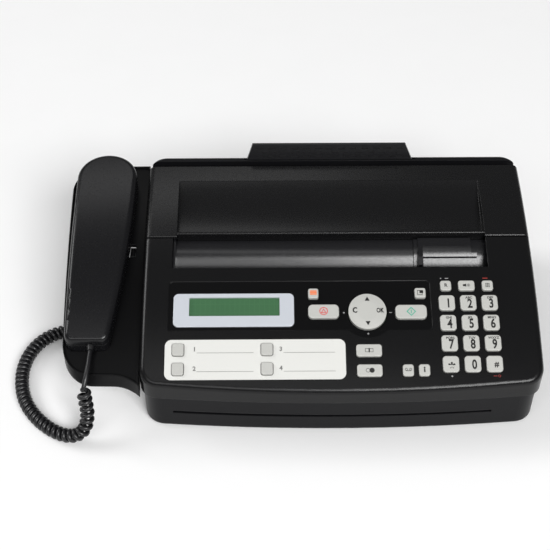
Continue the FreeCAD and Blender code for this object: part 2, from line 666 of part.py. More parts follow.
def main_board():
    """Main and power board with its transformer, heat sink and larger capacitors."""
    top = BOARD_Z + BOARD_THICK
    board = box(*BOARD_AREA, BOARD_Z, top)
    for x0, x1, y0, y1, high in BOARD_BLOCKS:
        board = board.fuse(box(x0, x1, y0, y1, top, top + high))
    for x, y, r, high in BOARD_CANS:
        board = board.fuse(Part.makeCylinder(r, high, V(x, y, top)))
    for x, y in BOARD_SCREWS:
        board = board.cut(Part.makeCylinder(1.7, 6, V(x, y, BOARD_Z - 1)))
    return board


def keypad_board():
    """Printed board under the keys, screwed flat behind the curved panel."""
    s = 0.5 * (KEYPAD_S - 3 * KEY_PITCH + 78.2)
    wide = BOARD_X[1] - BOARD_X[0]
    block = box(-wide / 2, wide / 2, -BOARD_HALF, BOARD_HALF, -BOARD_DROP - BOARD_THICK, -BOARD_DROP)
    return seat(block, 0.5 * (BOARD_X[0] + BOARD_X[1]), s)


def lcd_bezel():
    frame = pad(BEZEL_X[1] - BEZEL_X[0], BEZEL_S[1] - BEZEL_S[0], -STRIP_DEEP, 0.7, 3.6)
    frame = soft_top(frame, 0.7, 0.35)
    frame = on_strip(frame, BEZEL_X, BEZEL_S)
    return frame.cut(panel_area(WINDOW_X, WINDOW_S, -10, 10, 0.6))


def lcd_module():
    xs = (WINDOW_X[0] - 1.2, WINDOW_X[1] + 1.2)
    ss = (WINDOW_S[0] - 1.2, WINDOW_S[1] + 1.2)
    glass = panel_area(xs, ss, -4.2, -STRIP_DEEP - 0.05, 0.6)
    board_x = (WINDOW_X[0] - 6, WINDOW_X[1] + 6)
    board_s = (WINDOW_S[0] - 5, WINDOW_S[1] + 5)
    back = panel_area(board_x, board_s, -5.6, -4.2, 1.0)
    return glass.fuse(back).removeSplitter()


def label_card():
    """Printed card under a clear sheet, beside the four memory keys."""
    card = panel_area(LABEL_X, LABEL_S, -STRIP_DEEP + 0.02, -0.1, 4.6)
    card = card.common(arc_band(-200, 200, -110, 20, -0.4, STRIP_DEEP + 1.2))
    for name, x, s, w, d, corner in key_table():
        if name.startswith("memory"):
            card = card.cut(key_hole(x, s, w, d, corner))
    return card


def nav_pivot():
    """Small cross that carries the disc and lets it rock about the X axis."""
    cross = pad(9.0, 3.2, -4.6, -3.2, 0.5).fuse(pad(3.2, 9.0, -4.6, -3.2, 0.5))
    return seat(cross.removeSplitter(), DISC_X, DISC_S)


def nav_disc():
    """Four-way rocker: a shallow dome with a raised rim flange under the panel."""
    dome_radius = 64.0
    body = Part.makeCylinder(DISC_RADIUS, 4.6, V(0, 0, -2.4))
    ball = Part.makeSphere(dome_radius, V(0, 0, 2.6 - dome_radius))
    body = body.common(ball)
    neck = Part.makeCylinder(2.6, 0.9, V(0, 0, -3.0))
    return seat(body.fuse(neck).removeSplitter(), DISC_X, DISC_S)


def speaker():
    ring = Part.makeCylinder(18.0, 4.0, V(-70.0, -52.0, 3.7))
    magnet = Part.makeCylinder(9.0, 8.0, V(-70.0, -52.0, 7.7))
    return ring.fuse(magnet).removeSplitter()


# ---- cradle and handset ----------------------------------------------------------------
def shelf_outline(z, grow=0.0):
    """Plan of the cradle: straight left side, round corners, concave sweep at the front."""
    right = SHELF_RIGHT
    p = [V(right, -85.0, z), V(-121.0, -80.2, z), V(-131.0, -78.2, z), V(-146.0, -78.0, z),
         V(-159.6, -73.0, z), V(-167.2, -58.0, z), V(-170.0, 68.0, z), V(-162.6, 87.4, z),
         V(-144.0, 94.6, z), V(right, 94.6, z)]
    edges = [arc3(p[0], p[1], p[2]), line(p[2], p[3]), arc3(p[3], p[4], p[5]), line(p[5], p[6]),
             arc3(p[6], p[7], p[8]), line(p[8], p[9]), line(p[9], p[0])]
    face = loop(edges)
    return face.makeOffset2D(grow) if grow else face


def cup_outline(z, grow, which):
    """Plan of the mouthpiece or earpiece cup under the handset."""
    if which == "mouth":
        x0, x1, y0, y1 = MOUTH_CUP
        block = box(x0 - grow, x1 + grow, y0 - grow, y1 + grow, z, z + 100)
        return block.makeFillet(7.0 + grow, upright_edges(block, lambda p: True))
    x, y, r = EAR_CUP
    return Part.makeCylinder(r + grow, 100, V(x, y, z))


def handset_cradle():
    """Shelf moulded to the left of the body, with a deck, a low rim and two cup pockets."""
    solid = shelf_outline(0).extrude(V(0, 0, 120))
    shelf = solid.common(arc_band(-200, -100, -100, 98, RIM_DROP, SHELF_DROP))
    inner = shelf_outline(0, -RIM_WIDE).extrude(V(0, 0, 120)).fuse(box(-125, -100, -70, 91, 0, 120))
    shelf = shelf.cut(inner.common(arc_band(-200, -100, -100, 98, 0.0, DECK_DROP)))
    hollow = shelf_outline(0, -SHELF_WALL).extrude(V(0, 0, 120))
    hollow = hollow.common(arc_band(-200, -100, -100, 98, DECK_DROP + SHELF_WALL, SHELF_DROP + 2))
    for which in ("mouth", "ear"):
        tub = cup_outline(20, HANDSET_GAP + 1.8, which)
        hollow = hollow.cut(tub)
    shelf = shelf.cut(hollow)
    for which in ("mouth", "ear"):
        pocket = cup_outline(20, HANDSET_GAP, which)
        shelf = shelf.cut(pocket.common(arc_band(-200, -100, -100, 98, 0.0, POCKET_DROP)))
    half_x = HOOK_HALF[0] + HOOK_CLEAR
    half_y = HOOK_HALF[1] + HOOK_CLEAR
    shelf = shelf.cut(box(HOOK_X - half_x, HOOK_X + half_x, HOOK_Y - half_y, HOOK_Y + half_y, 20, 120))
    flange = box(SHELF_RIGHT, BODY_LEFT + BASE_INSET, 22.0, 74.0, 56.0, 120.0)
    flange = flange.common(arc_band(-200, 0, 0, 98, SKIRT + 1.0, SHELF_DROP))
    return shelf.fuse(flange).removeSplitter()


def hook_switch():
    """Plunger that the handset holds down."""
    half_x, half_y = HOOK_HALF
    front = HOOK_Y - half_y
    top = arc_z(front, DECK_DROP) + 0.3
    body = box(HOOK_X - half_x, HOOK_X + half_x, front, HOOK_Y + half_y, top - HOOK_LONG, top)
    return soft_top(body, top, 1.2)


def handset_outline(inset):
    """Plan of the handset: square mouth end, round ear end, one long curve along the right side."""
    ear = V(EAR_X, EAR_Y, 0)
    r = EAR_RADIUS - inset
    side = SIDE_RADIUS - inset
    side_x = EAR_X + EAR_RADIUS - SIDE_RADIUS
    end = MOUTH_Y + inset
    mid = 0.5 * (EAR_Y + end)

    def right(y):
        return V(side_x + math.sqrt(side ** 2 - (y - EAR_Y) ** 2), y, 0)

    left_top = V(EAR_X - r, EAR_Y, 0)
    left_end = V(EAR_X - r, end, 0)
    crown = arc3(left_top, V(ear.x, ear.y + r, 0), right(EAR_Y))
    side_edge = arc3(right(EAR_Y), right(mid), right(end))
    return loop([line(left_end, left_top), crown, side_edge, line(right(end), left_end)])


def handset_crown(inset):
    """Centre and radius of the long arc over the handset's back."""
    crown = arc3(*HANDSET_TOP).Curve
    return crown.Center, crown.Radius - inset


def handset_solid(inset):
    """Handset without its cups, shrunk by inset on every side."""
    prism = handset_outline(inset).extrude(V(0, 0, 140))
    corners = upright_edges(prism, lambda p: abs(p.y - MOUTH_Y - inset) < 1e-4)
    prism = prism.makeFillet(MOUTH_CORNER - inset, corners)
    centre, radius = handset_crown(inset)

    def over(y):
        return V(-200, y, centre.z + math.sqrt(radius ** 2 - (y - centre.y) ** 2))

    low = DECK_DROP - HANDSET_GAP - inset
    y0 = -100.0
    y1 = 110.0
    under0 = V(-200, y0, arc_z(y0, low))
    under1 = V(-200, y1, arc_z(y1, low))
    crown = arc3(over(y0), over(5.0), over(y1))
    edges = [top_edge(y0, y1, low, -200), line(under1, over(y1)), crown, line(over(y0), under0)]
    return prism.common(loop(edges).extrude(V(120, 0, 0)))


def handset_shells():
    """Upper and lower half shells, split a little above the middle."""
    solid = handset_solid(0)
    centre, radius = handset_crown(0)
    edges = []
    for e in solid.Edges:
        ends = [e.valueAt(e.FirstParameter), e.valueAt(e.LastParameter)]
        if all(abs(math.hypot(p.y - centre.y, p.z - centre.z) - radius) < 1e-3 for p in ends):
            edges.append(e)
    solid = solid.makeFillet(HANDSET_ROUND, edges)
    inside = handset_solid(HANDSET_WALL)
    half = below_arc(-200, -80, -100, 110, 20, SPLIT_DROP)
    upper = solid.cut(half).cut(inside)
    lower = solid.common(half)
    cup_depth = arc_band(-200, -100, -100, 110, SPLIT_DROP + 1, CUP_DROP)
    cup_hollow = arc_band(-200, -100, -100, 110, 2.0, CUP_DROP - HANDSET_WALL)
    for which in ("mouth", "ear"):
        lower = lower.fuse(cup_outline(20, 0.0, which).common(cup_depth))
    lower = lower.cut(inside)
    for which in ("mouth", "ear"):
        lower = lower.cut(cup_outline(20, -HANDSET_WALL, which).common(cup_hollow))
    return upper, lower


def strain_relief():
    """Tapered sleeve on the cord where it enters the mouth end of the handset."""
    end = V(*LEAD_ROUTE[-1])
    run = end.sub(V(*LEAD_ROUTE[-2])).normalize()
    small = end.add(V(run).multiply(RELIEF_GAP))
    long = (MOUTH_Y - small.y) / run.y
    return Part.makeCone(2.4, 3.2, long, small, run)


# ---- cord --------------------------------------------------------------------------------
def tube(points, radius):
    """Round tube along straight runs joined by tangent arcs; prints the arcs' radii."""
    pts = [V(*p) for p in points]
    edges = []
    radii = []
    last = pts[0]
    for i in range(1, len(pts) - 1):
        back = pts[i - 1].sub(pts[i])
        ahead = pts[i + 1].sub(pts[i])
        shorter = min(back.Length, ahead.Length)
        turn = math.pi - back.getAngle(ahead)
        bend = 0.45 * shorter / math.tan(turn / 2)
        radii.append(round(bend, 1))
        back.normalize()
        ahead.normalize()
        a = pts[i].add(V(back).multiply(0.45 * shorter))
        b = pts[i].add(V(ahead).multiply(0.45 * shorter))
        bisector = back.add(ahead)
        bisector.normalize()
        centre = pts[i].add(V(bisector).multiply(bend / math.cos(turn / 2)))
        mid = centre.sub(V(bisector).multiply(bend))
        edges.append(line(last, a))
        edges.append(arc3(a, mid, b))
        last = b
    edges.append(line(last, pts[-1]))
    path = Part.Wire(edges)
    ring = Part.Wire([Part.Circle(pts[0], pts[1].sub(pts[0]), radius).toShape()])
    solid = path.makePipeShell([ring], True, False)
    expected = math.pi * radius ** 2 * path.Length
    ratio = round(solid.Volume / expected, 4)
    print("cord radii", radii, "length", round(path.Length, 1), "volume ratio", ratio)
    return solid


def cord_plug():
    """Modular plug in the socket in the base's left wall."""
    x0 = -101.5
    body = box(COIL_ROUTE[0][0] + 4.0, x0, SOCKET_Y - 4.3, SOCKET_Y + 4.3, SOCKET_Z - 3.8, SOCKET_Z + 3.8)
    sleeve = rod(COIL_ROUTE[0][0], COIL_ROUTE[0][0] + 4.0, SOCKET_Y, SOCKET_Z, 3.4)
    return body.fuse(sleeve).removeSplitter()


# ---- small parts ---------------------------------------------------------------------------
def feet():
    pads = []
    for x in (-84.0, 142.0):
        for y in (-74.0, 76.0):
            pads.append(Part.makeCylinder(7.0, FOOT_HEIGHT, V(x, y, 0)))
    return Part.makeCompound(pads)


def screws():
    """Pan-head screws that hold the main board down."""
    group = []
    top = BOARD_Z + BOARD_THICK
    for x, y in BOARD_SCREWS:
        head = Part.makeCylinder(2.6, 1.8, V(x, y, top))
        shank = Part.makeCylinder(1.3, top - 4.2, V(x, y, 4.2))
        group.append(head.fuse(shank).removeSplitter())
    return Part.makeCompound(group)


# ---- build ---------------------------------------------------------------------------------
def save(name, shape):
    if not shape.isValid():
        print("INVALID", name)
    shape.exportStep("parts/%s.step" % name)
    print(name, "solids", len(shape.Solids), "volume", round(shape.Volume))


def main():
    os.makedirs("parts", exist_ok=True)
    outer = rounded_cabinet()
    inner = cabinet(SKIN, SKIN)
    save("control_panel", control_panel(outer, inner))
    save("rear_cover", rear_cover(outer, inner))
    save("rear_housing", rear_housing(outer))
    save("base_shell", base_shell())
    save("document_chute", document_chute())
    save("document_guide", document_guide())
    save("paper_support", paper_support())
    save("scan_roller", geared_roller(SCAN_AXIS, SCAN_RADIUS))
    save("platen_roller", geared_roller(PLATEN_AXIS, PLATEN_RADIUS))
    save("motor_pinion", motor_pinion())
    save("drive_motor", motor())
    save("ribbon_takeup_spool", spool(TAKEUP_AXIS, TAKEUP_RADIUS))
    save("ribbon_supply_spool", spool(SUPPLY_AXIS, SUPPLY_RADIUS))
    save("scanner_bar", scanner_bar())
    save("thermal_head", thermal_head())
    save("main_board", main_board())
    save("keypad_board", keypad_board())
    save("lcd_bezel", lcd_bezel())
    save("lcd_module", lcd_module())
    save("label_card", label_card())
    save("nav_pivot", nav_pivot())
    save("nav_disc", nav_disc())
    save("speaker", speaker())
    save("handset_cradle", handset_cradle())
    save("hook_switch", hook_switch())
    upper, lower = handset_shells()
    save("handset_top_shell", upper)
    save("handset_bottom_shell", lower)
    save("strain_relief", strain_relief())
    save("curly_cord", tube(COIL_ROUTE, COIL_RADIUS))
    save("cord_lead", tube(LEAD_ROUTE, LEAD_RADIUS))
    save("cord_plug", cord_plug())
    save("feet", feet())
    save("screws", screws())
    for name, x, s, w, d, corner in key_table():
        save(name, key(x, s, w, d, corner))


main()
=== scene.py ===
"""Looks of a desktop fax machine with a corded handset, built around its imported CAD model."""

import math

import bmesh
import bpy
from mathutils import Matrix, Vector


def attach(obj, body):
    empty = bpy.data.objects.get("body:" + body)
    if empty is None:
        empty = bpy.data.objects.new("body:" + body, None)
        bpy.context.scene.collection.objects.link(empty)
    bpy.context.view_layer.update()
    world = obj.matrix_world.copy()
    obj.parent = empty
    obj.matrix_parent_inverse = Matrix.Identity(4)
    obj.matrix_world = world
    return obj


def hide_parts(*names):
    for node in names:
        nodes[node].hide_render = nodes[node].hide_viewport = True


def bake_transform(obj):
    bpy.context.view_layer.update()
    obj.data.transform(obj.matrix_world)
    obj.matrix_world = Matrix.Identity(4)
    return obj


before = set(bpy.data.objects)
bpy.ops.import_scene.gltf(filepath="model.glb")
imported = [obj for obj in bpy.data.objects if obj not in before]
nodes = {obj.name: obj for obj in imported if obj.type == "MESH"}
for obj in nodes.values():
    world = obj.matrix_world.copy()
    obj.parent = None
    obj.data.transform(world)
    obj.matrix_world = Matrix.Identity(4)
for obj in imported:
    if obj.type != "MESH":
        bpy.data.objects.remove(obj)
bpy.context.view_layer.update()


# ---- camera ------------------------------------------------------------------------
# A long lens looks down at the machine from the front at 45 degrees, turned half a degree
# to the right and tilted by less than a tenth.
CAMERA_AT = Vector((-0.02237, -0.59901, 0.66294))
CAMERA_LENS = 75.4
LOOK_DOWN = math.radians(45.0)
LOOK_RIGHT = math.radians(0.54)
ROLL = math.radians(0.08)

forward = Vector((
    math.sin(LOOK_RIGHT) * math.cos(LOOK_DOWN),
    math.cos(LOOK_RIGHT) * math.cos(LOOK_DOWN),
    -math.sin(LOOK_DOWN),
))
level = Vector((math.cos(LOOK_RIGHT), -math.sin(LOOK_RIGHT), 0))
upright = level.cross(forward)
right = level * math.cos(ROLL) + upright * math.sin(ROLL)
up = upright * math.cos(ROLL) - level * math.sin(ROLL)
camera_data = bpy.data.cameras.new("camera")
camera_data.lens = CAMERA_LENS
camera_data.sensor_width = 36
camera = bpy.data.objects.new("camera", camera_data)
facing = Matrix((right, up, -forward)).transposed().to_4x4()
camera.matrix_world = Matrix.Translation(CAMERA_AT) @ facing
bpy.context.collection.objects.link(camera)
bpy.context.scene.camera = camera
bpy.context.scene.view_settings.view_transform = "Standard"


# ---- handset cord ------------------------------------------------------------------
# A curly cord: four thin leads in a black PVC jacket, wound on a rod and heat-set into tight
# turns. It leaves a modular plug in the base's side, under the cradle, lies in a loose loop on
# the table and rises to the handset, where its last few centimetres are straight.
MM = 0.001
WIRE = 1.8 * MM                  # radius of the jacket
COIL = 3.55 * MM                 # radius of a turn, to the middle of the wire
STEPS = 16                       # points in each turn
TIGHT = 4.0 * MM                 # from turn to turn where the coil lies slack
OPEN = 5.6 * MM                  # and where the handset's weight pulls it open
OPENS = 0.075                    # the last stretch of coil, which opens towards the handset
TAPER = (7 * MM, 3 * MM)         # the coil closes down to the straight wire over these lengths
OPENING_CURVE = 1.5              # how late in the last stretch most of the opening comes
WIRE_SIDES = 2                   # steps in a quarter of the wire's round section
COIL_ROUTE = [
    (-0.1210, -0.0060, 0.0110), (-0.1360, -0.0059, 0.0096), (-0.1520, -0.0034, 0.0064),
    (-0.1680, -0.0006, 0.0057), (-0.1820, -0.0024, 0.0056), (-0.1940, -0.0104, 0.0057),
    (-0.2020, -0.0236, 0.0056), (-0.2050, -0.0396, 0.0057), (-0.2036, -0.0560, 0.0056),
    (-0.1984, -0.0720, 0.0057), (-0.1886, -0.0860, 0.0056), (-0.1754, -0.0976, 0.0057),
    (-0.1616, -0.1034, 0.0062), (-0.1514, -0.1024, 0.0120), (-0.1484, -0.0962, 0.0226),
    (-0.1500, -0.0914, 0.0350), (-0.1502, -0.0896, 0.0425),
]
LEAD_ROUTE = [
    (-0.1492, -0.0868, 0.0466), (-0.1476, -0.0792, 0.0508), (-0.1469, -0.0714, 0.0530),
    (-0.1468, -0.0649, 0.0541),
]


def smooth_line(name, points, resolution):
    """Smooth open curve that has the points as its control points."""
    curve = bpy.data.curves.new(name, "CURVE")
    curve.dimensions = "3D"
    curve.resolution_u = resolution
    curve.use_fill_caps = True
    spline = curve.splines.new("NURBS")
    spline.points.add(len(points) - 1)
    for point, place in zip(spline.points, points):
        point.co = (*place, 1)
    spline.order_u = 3
    spline.use_endpoint_u = True
    return bpy.data.objects.new(name, curve)


def read_line(curve_object):
    """The points along a curve that has no bevel."""
    mesh = bpy.data.meshes.new_from_object(curve_object)
    places = [vertex.co.copy() for vertex in mesh.vertices]
    bpy.data.meshes.remove(mesh)
    return places


def linear(code):
    """Linear colour of an sRGB hex code."""
    parts = [int(code[i:i + 2], 16) / 255 for i in (1, 3, 5)]
    return (*[c / 12.92 if c < 0.04045 else ((c + 0.055) / 1.055) ** 2.4 for c in parts], 1)


def add_node(material, kind, inputs, **settings):
    """Adds a node. Its inputs are numbers or colours, or other nodes' outputs to link."""
    node = material.node_tree.nodes.new("ShaderNode" + kind)
    for name, value in settings.items():
        setattr(node, name, value)
    for socket, value in inputs.items():
        if isinstance(value, bpy.types.NodeSocket):
            material.node_tree.links.new(value, node.inputs[socket])
        else:
            node.inputs[socket].default_value = value
    return node


CLOUD_SIZE = 45 * MM             # of the slow drift between a moulding's two shades
NOISE_SPREAD = (0.3, 0.7)        # where nearly all of a noise pattern's values lie


def moulded(name, colour, cloud, gloss, grain, relief, edge=0.0, **shader):
    """Moulded plastic or rubber. colour and cloud are its two close shades, gloss the least and
    most roughness, grain the size of the mould's spark-eroded texture in mm and relief its depth.
    The real texture is 0.1 to 0.3 mm across, too fine to show, so it is drawn several times
    coarser. edge is the small radius that a mould leaves on a corner, which catches the light."""
    material = bpy.data.materials.new(name)
    material.use_nodes = True
    finish = material.node_tree.nodes["Principled BSDF"]
    for socket, value in shader.items():
        finish.inputs[socket.replace("_", " ")].default_value = value
    place = add_node(material, "TexCoord", {}).outputs["Object"]
    drift = add_node(material, "TexNoise", {"Vector": place, "Scale": 1 / CLOUD_SIZE, "Detail": 3.0})
    shade = add_node(material, "MixRGB", {
        "Fac": drift.outputs["Fac"], "Color1": linear(colour), "Color2": linear(cloud)})
    pits = add_node(material, "TexNoise", {"Vector": place, "Scale": 1 / (grain * MM), "Detail": 2.0})
    dull = add_node(material, "MapRange", {
        "Value": pits.outputs["Fac"], "From Min": NOISE_SPREAD[0], "From Max": NOISE_SPREAD[1],
        "To Min": gloss[0], "To Max": gloss[1]})
    bump = add_node(material, "Bump", {
        "Height": pits.outputs["Fac"], "Strength": 1.0, "Distance": relief * MM})
    if edge:
        rounded = add_node(material, "Bevel", {"Radius": edge * MM}, samples=8)
        material.node_tree.links.new(rounded.outputs["Normal"], bump.inputs["Normal"])
    link = material.node_tree.links.new
    link(shade.outputs["Color"], finish.inputs["Base Color"])
    link(dull.outputs["Result"], finish.inputs["Roughness"])
    link(bump.outputs["Normal"], finish.inputs["Normal"])
    return material


def finish_node(name, material):
    """Gives a CAD node its finish."""
    nodes[name].data.materials.clear()
    nodes[name].data.materials.append(material)


coil_line = smooth_line("coil_line", COIL_ROUTE, 24)
route = read_line(coil_line)
bpy.data.objects.remove(coil_line)
reach = [0.0]
for before, after in zip(route, route[1:]):
    reach.append(reach[-1] + (after - before).length)
whole = reach[-1]

turns = []
side = Vector((0, 0, 1))
phase = 0.0
at = 0.0
piece = 0
while at < whole:
    while reach[piece + 1] < at:
        piece += 1
    share = (at - reach[piece]) / (reach[piece + 1] - reach[piece])
    centre = route[piece].lerp(route[piece + 1], share)
    along = (route[piece + 1] - route[piece]).normalized()
    side = (side - along * side.dot(along)).normalized()
    across = along.cross(side)
    wide = COIL * min(1.0, at / TAPER[0], (whole - at) / TAPER[1])
    turns.append(centre + wide * (math.cos(phase) * side + math.sin(phase) * across))
    opening = max(0.0, 1 - (whole - at) / OPENS)
    phase += 2 * math.pi / STEPS
    at += (TIGHT + (OPEN - TIGHT) * opening ** OPENING_CURVE) / STEPS

cord_points = [Vector(COIL_ROUTE[0])] + turns[1:] + [Vector(COIL_ROUTE[-1])]
cord_points += [Vector(p) for p in LEAD_ROUTE]
cord_line = smooth_line("cord_line", cord_points, 1)
cord_path = read_line(cord_line)
cord_line.data.bevel_depth = WIRE
cord_line.data.bevel_resolution = WIRE_SIDES
handset_cord = bpy.data.objects.new("handset_cord", bpy.data.meshes.new_from_object(cord_line))
handset_cord.data.name = "handset_cord"
bpy.data.objects.remove(cord_line)
bpy.context.collection.objects.link(handset_cord)
for face in handset_cord.data.polygons:
    face.use_smooth = True

# Flexible PVC: soft, slightly glossy black with a faint bloom on the crests of the turns.
pvc_jacket = moulded("flexible_pvc_jacket", "#0d0d0f", "#131316", (0.28, 0.42), 0.9, 0.008, IOR=1.53)
handset_cord.data.materials.clear()
handset_cord.data.materials.append(pvc_jacket)
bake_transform(handset_cord)
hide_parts("curly_cord", "cord_lead")

# Clear polycarbonate plug, slightly blue; the strain relief is the same black PVC as the cord.
plug_clear = moulded("clear_polycarbonate", "#c4ccd2", "#b4bec6", (0.08, 0.16), 1.5, 0.004,
                     IOR=1.58, Transmission_Weight=0.55)
finish_node("cord_plug", plug_clear)
finish_node("strain_relief", pvc_jacket)


# ---- base --------------------------------------------------------------------------
# The lower casing is moulded in black ABS with a fine spark-eroded texture. It carries every
# mechanism, stands on four rubber feet and is closed with plated steel screws.

# ABS from a sparked mould: a dull black whose fine texture spreads every highlight.
base_abs = moulded("textured_black_abs", "#101012", "#151517", (0.32, 0.38), 0.9, 0.0015, edge=0.8,
                   IOR=1.53, Specular_IOR_Level=0.13)
finish_node("base_shell", base_abs)
finish_node("rear_housing", base_abs)

# Nitrile rubber: flat dark grey with no highlight at all.
foot_rubber = moulded("foot_rubber", "#1a1a1a", "#222222", (0.7, 0.85), 0.7, 0.02, IOR=1.5)
finish_node("feet", foot_rubber)


def metal(name, colour, cloud, gloss, line, relief, along, **shader):
    """Bare metal with fine lines: turned or rolled marks about `line` mm apart that run along X,
    or all round where along is 1."""
    material = moulded(name, colour, cloud, gloss, line, relief, Metallic=1.0, **shader)
    tree = material.node_tree
    place = next(n for n in tree.nodes if n.type == "TEX_COORD").outputs["Object"]
    stretch = add_node(material, "Mapping", {"Vector": place, "Scale": (along, 1.0, 1.0)})
    pits = [n for n in tree.nodes if n.type == "TEX_NOISE"][-1]
    tree.links.new(stretch.outputs["Vector"], pits.inputs["Vector"])
    return material


# Zinc-plated steel: bright grey with rolled lines that blur its highlight.
plated_steel = metal("zinc_plated_steel", "#a9abae", "#8f9195", (0.25, 0.4), 0.6, 0.006, 0.1)
finish_node("screws", plated_steel)
finish_node("drive_motor", plated_steel)


# ---- control panel -----------------------------------------------------------------
# One large black ABS moulding with a satin face. The display strip is let into it by half a
# millimetre and polished darker, with a round bay under the navigation disc.

# ABS from a vapour-blasted mould: a smooth satin black that shows lamps as soft wide glows.
panel_abs = moulded("satin_black_abs", "#0e0e0f", "#111112", (0.23, 0.27), 1.3, 0.0004, edge=0.5,
                    IOR=1.53, Specular_IOR_Level=0.25)
STRIP_MIDDLE = (0.5 * MM, -37.4 * MM)
STRIP_HALF = (93.0 * MM, 17.9 * MM)
BAY_MIDDLE = (48.2 * MM, -42.4 * MM)
BAY_SIZE = (20.0 * MM, 18.0 * MM)


def polish(material, shine, shade):
    """Polishes and darkens the strip's rectangle and the round bay, seen from above."""
    tree = material.node_tree
    finish = tree.nodes["Principled BSDF"]
    place = next(n for n in tree.nodes if n.type == "TEX_COORD").outputs["Object"]
    inside = []
    for centre, half, rule in ((STRIP_MIDDLE, STRIP_HALF, "box"), (BAY_MIDDLE, BAY_SIZE, "round")):
        shifted = add_node(material, "VectorMath", {0: place, 1: (*centre, 0)}, operation="SUBTRACT")
        scaled = add_node(material, "VectorMath", {
            0: shifted.outputs["Vector"], 1: (1 / half[0], 1 / half[1], 0)}, operation="MULTIPLY")
        if rule == "box":
            size = add_node(material, "VectorMath", {0: scaled.outputs["Vector"]}, operation="ABSOLUTE")
            axes = add_node(material, "SeparateXYZ", {"Vector": size.outputs["Vector"]})
            sides = {0: axes.outputs["X"], 1: axes.outputs["Y"]}
            far = add_node(material, "Math", sides, operation="MAXIMUM")
            distance = far.outputs["Value"]
        else:
            distance = add_node(material, "VectorMath", {0: scaled.outputs["Vector"]}, operation="LENGTH")
            distance = distance.outputs["Value"]
        within = add_node(material, "Math", {0: distance, 1: 1.0}, operation="LESS_THAN")
        inside.append(within.outputs["Value"])
    both = add_node(material, "Math", {0: inside[0], 1: inside[1]}, operation="MAXIMUM").outputs["Value"]
    for socket, value in (("Base Color", linear(shade)), ("Roughness", (shine, shine, shine, 1))):
        old = finish.inputs[socket].links[0].from_socket
        mixed = add_node(material, "MixRGB", {"Fac": both, "Color1": old, "Color2": value})
        tree.links.new(mixed.outputs["Color"], finish.inputs[socket])


# The polished strip looks deeper and smoother than the satin round it.
polish(panel_abs, 0.17, "#0a0a0b")
finish_node("control_panel", panel_abs)


# ---- display -----------------------------------------------------------------------
# A reflective liquid crystal display, green behind clear glass, in a silver painted bezel. Its
# glass lies below the bezel, so the window's edges throw a thin shadow on it.

# Sprayed silver lacquer: a pale, slightly blue grey with a soft sparkle under its clear coat.
silver_paint = moulded("silver_painted_abs", "#d7dbe2", "#ccd1d9", (0.28, 0.36), 0.5, 0.003,
                       IOR=1.5, Metallic=0.25, Coat_Weight=0.3, Coat_Roughness=0.2)
finish_node("lcd_bezel", silver_paint)

# Twisted nematic glass over a reflector: flat leaf green, with the sharp gloss of the glass.
lcd_glass = moulded("reflective_lcd", "#3c6444", "#436c4a", (0.10, 0.16), 2.0, 0.001,
                    IOR=1.52, Coat_Weight=0.4, Coat_Roughness=0.05)
# The empty character cells show as faint blocks, 16 across in two rows, 3.5 by 6 mm each.
lcd_tree = lcd_glass.node_tree
lcd_place = next(n for n in lcd_tree.nodes if n.type == "TEX_COORD").outputs["Object"]
cells = add_node(lcd_glass, "TexBrick", {
    "Vector": lcd_place, "Color1": (1, 1, 1, 1), "Color2": (0.98, 0.98, 0.98, 1),
    "Mortar": (1.09, 1.08, 1.06, 1), "Scale": 1 / (10 * MM), "Mortar Size": 0.03,
    "Brick Width": 0.35, "Row Height": 0.6}, offset=0.0)
lcd_finish = lcd_tree.nodes["Principled BSDF"]
lcd_tint = lcd_finish.inputs["Base Color"].links[0].from_socket
lcd_mixed = add_node(lcd_glass, "MixRGB", {
    "Fac": 1.0, "Color1": lcd_tint, "Color2": cells.outputs["Color"]}, blend_type="MULTIPLY")
lcd_tree.links.new(lcd_mixed.outputs["Color"], lcd_finish.inputs["Base Color"])
finish_node("lcd_module", lcd_glass)


# ---- label card --------------------------------------------------------------------
# White card under a clear film, for writing names beside the four memory keys. Its numbers and
# ruled lines are printed in grey.

# Coated card behind PVC film: an even soft white with a faint sheen.
card_white = moulded("white_card_under_film", "#dadad6", "#d6d6d2", (0.30, 0.38), 0.6, 0.003,
                     IOR=1.49, Coat_Weight=0.2, Coat_Roughness=0.15)
finish_node("label_card", card_white)

TOP_RADIUS = 492.7
TOP_CENTRE = (129.9, -392.6)
FRONT_ANGLE = math.asin((TOP_CENTRE[0] + 96.0) / TOP_RADIUS)
INK_THICK = 0.06                 # a real print is thinner, and would flicker against the plastic
BOLD = 0.028                     # the strokes are thicker by this share of a letter's size


def printing_ink(name, colour):
    """Screen-printed ink: matt, a little uneven in strength."""
    return moulded(name, colour, colour, (0.45, 0.6), 0.5, 0.002, IOR=1.5)


def on_top(x, s, rise):
    """Where artwork drawn flat, in mm, goes on the panel: x across, s back from the front edge
    along the top's arc, and rise above it."""
    angle = FRONT_ANGLE - s / TOP_RADIUS
    out = TOP_RADIUS + rise
    y = TOP_CENTRE[0] - out * math.sin(angle)
    z = TOP_CENTRE[1] + out * math.cos(angle)
    turn = Matrix.Rotation(angle, 4, "X")
    return Matrix.Scale(MM, 4) @ Matrix.Translation((x, y, z)) @ turn


def figure(shape, size, at=(0, 0), stretch=(1, 1), turn=0.0, line=0.0):
    """One filled figure of a symbol with `shape` corners; a line width makes it an outline."""
    return ("figure", shape, size, at, stretch, math.radians(turn), line)


def words(text, size, at=(0, 0), stretch=(1, 1)):
    """One word or number of a legend."""
    return ("words", text, size, at, stretch)


